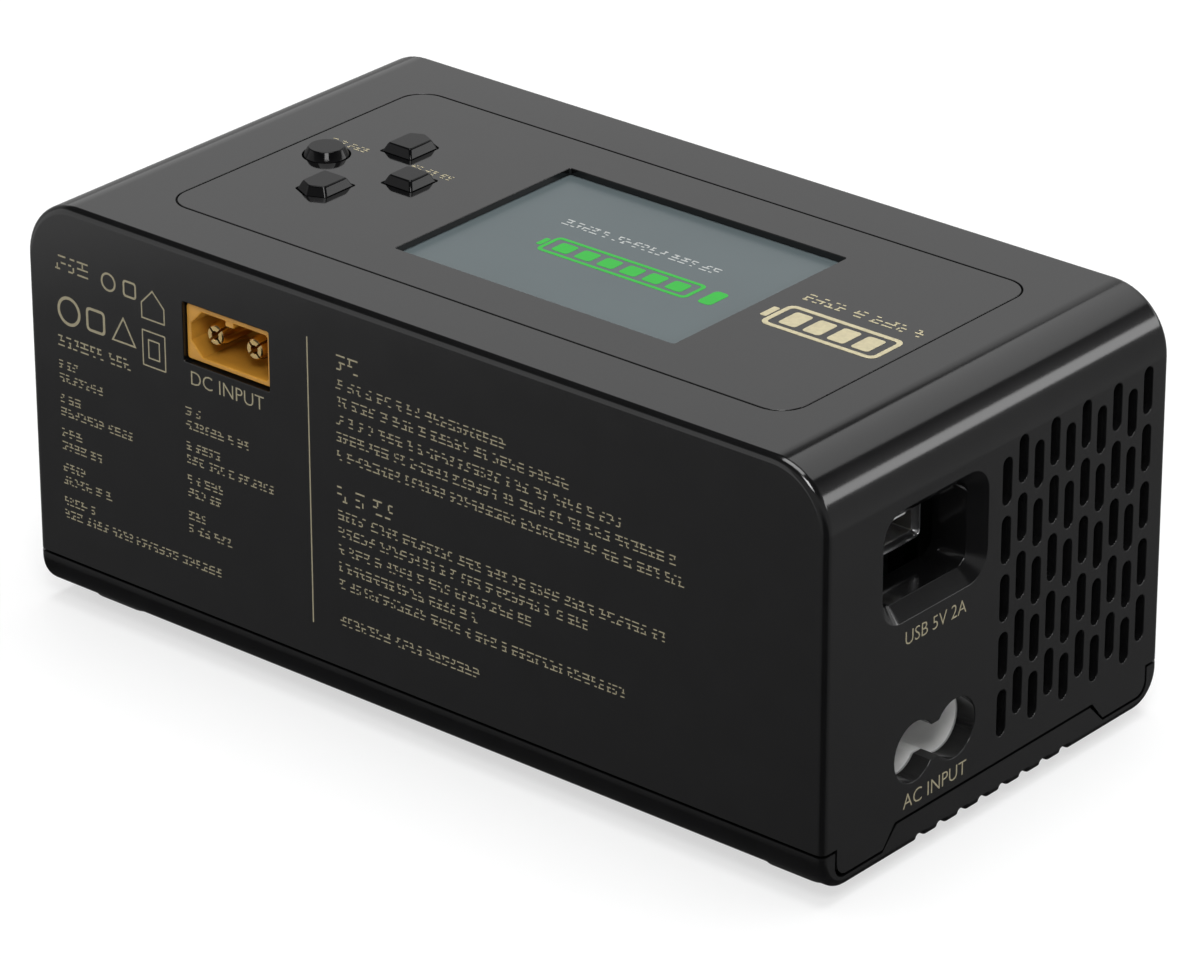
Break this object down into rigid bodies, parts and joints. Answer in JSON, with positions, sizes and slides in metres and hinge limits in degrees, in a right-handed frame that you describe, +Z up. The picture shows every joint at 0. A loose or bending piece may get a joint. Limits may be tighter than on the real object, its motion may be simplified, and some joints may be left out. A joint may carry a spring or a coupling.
{
  "type": "balance battery charger",
  "caption": "Black box-shaped mains and DC hobby battery charger with a flush top display, four keys, slotted end vents and front charging outlets.",
  "frame": {"origin": "under the middle of the housing, on the plane that the rubber feet stand on", "axes": "+Z up, +X along the length away from the end with the mains inlet, -Y towards the user and the charging outlets"},
  "size_m": [0.14, 0.073, 0.0633],
  "materials": {
    "housing": "fine spark-eroded black ABS, satin",
    "panel": "smooth satin black polycarbonate",
    "keys": "polished black",
    "rubber": "matte black rubber",
    "screws": "black zinc",
    "screen_glass": "grey slate display under clear cover glass",
    "display_can": "satin pressed steel",
    "circuit_board": "green solder mask",
    "switch_plastic": "black glass-filled nylon",
    "pale_plastic": "pale grey nylon",
    "amber_plastic": "translucent amber nylon",
    "gold_contacts": "gold plated",
    "bright_steel": "nickel plated",
    "aluminium": "plain extruded",
    "ferrite": "matte dark grey ferrite",
    "winding": "amber tape and copper wire",
    "capacitor_sleeve": "dark blue shrink sleeve",
    "legend": "dull gold pad print",
    "screen_graphic": "lit green and white display marks"
  },
  "bodies": {
    "housing": {"top_cover": "housing", "bottom_tray": "housing", "top_panel": "panel", "foot_rear_left": "rubber", "foot_rear_right": "rubber", "foot_front_left": "rubber", "foot_front_right": "rubber", "housing_screw_rear_left": "screws", "housing_screw_rear_right": "screws", "housing_screw_front_left": "screws", "housing_screw_front_right": "screws", "display_glass": "screen_glass", "display_module": "display_can", "display_board": "circuit_board", "input_board": "circuit_board", "dc_input_board": "circuit_board", "output_board": "circuit_board", "main_board": "circuit_board", "up_switch": "switch_plastic", "down_switch": "switch_plastic", "enter_switch": "switch_plastic", "back_switch": "switch_plastic", "buzzer": "switch_plastic", "fan_frame": "switch_plastic", "mains_inlet": "pale_plastic", "usb_tongue": "pale_plastic", "balance_header_1": "pale_plastic", "balance_header_2": "pale_plastic", "dc_input_housing": "amber_plastic", "output_1_housing": "amber_plastic", "output_2_housing": "amber_plastic", "dc_input_pin_positive": "gold_contacts", "dc_input_pin_negative": "gold_contacts", "output_1_contact_positive": "gold_contacts", "output_1_contact_negative": "gold_contacts", "output_2_contact_positive": "gold_contacts", "output_2_contact_negative": "gold_contacts", "balance_pins_1": "gold_contacts", "balance_pins_2": "gold_contacts", "mains_pin_line": "bright_steel", "mains_pin_neutral": "bright_steel", "usb_shell": "bright_steel", "heatsink": "aluminium", "transformer_core": "ferrite", "transformer_coil": "winding", "output_choke": "winding", "mains_capacitor": "capacitor_sleeve", "output_capacitor_1": "capacitor_sleeve", "output_capacitor_2": "capacitor_sleeve"},
    "up_button": {"up_key": "keys", "up_switch_plunger": "pale_plastic"},
    "down_button": {"down_key": "keys", "down_switch_plunger": "pale_plastic"},
    "enter_button": {"enter_key": "keys", "enter_switch_plunger": "pale_plastic"},
    "back_button": {"back_key": "keys", "back_switch_plunger": "pale_plastic"},
    "fan_impeller": {"fan_rotor": "switch_plastic", "fan_shaft": "bright_steel"}
  },
  "joints": [
    {"name": "up_press", "type": "slide", "parent": "housing", "child": "up_button", "axis": [0, 0, -1], "range_m": [0, 0.00035], "stiffness_N_per_m": 400, "springref_m": -0.001},
    {"name": "down_press", "type": "slide", "parent": "housing", "child": "down_button", "axis": [0, 0, -1], "range_m": [0, 0.00035], "stiffness_N_per_m": 400, "springref_m": -0.001},
    {"name": "enter_press", "type": "slide", "parent": "housing", "child": "enter_button", "axis": [0, 0, -1], "range_m": [0, 0.00035], "stiffness_N_per_m": 400, "springref_m": -0.001},
    {"name": "back_press", "type": "slide", "parent": "housing", "child": "back_button", "axis": [0, 0, -1], "range_m": [0, 0.00035], "stiffness_N_per_m": 400, "springref_m": -0.001},
    {"name": "fan_spin", "type": "hinge", "parent": "housing", "child": "fan_impeller", "pos_m": [-0.0624, -0.0164, 0.0317], "axis": [1, 0, 0], "continuous": true}
  ]
}
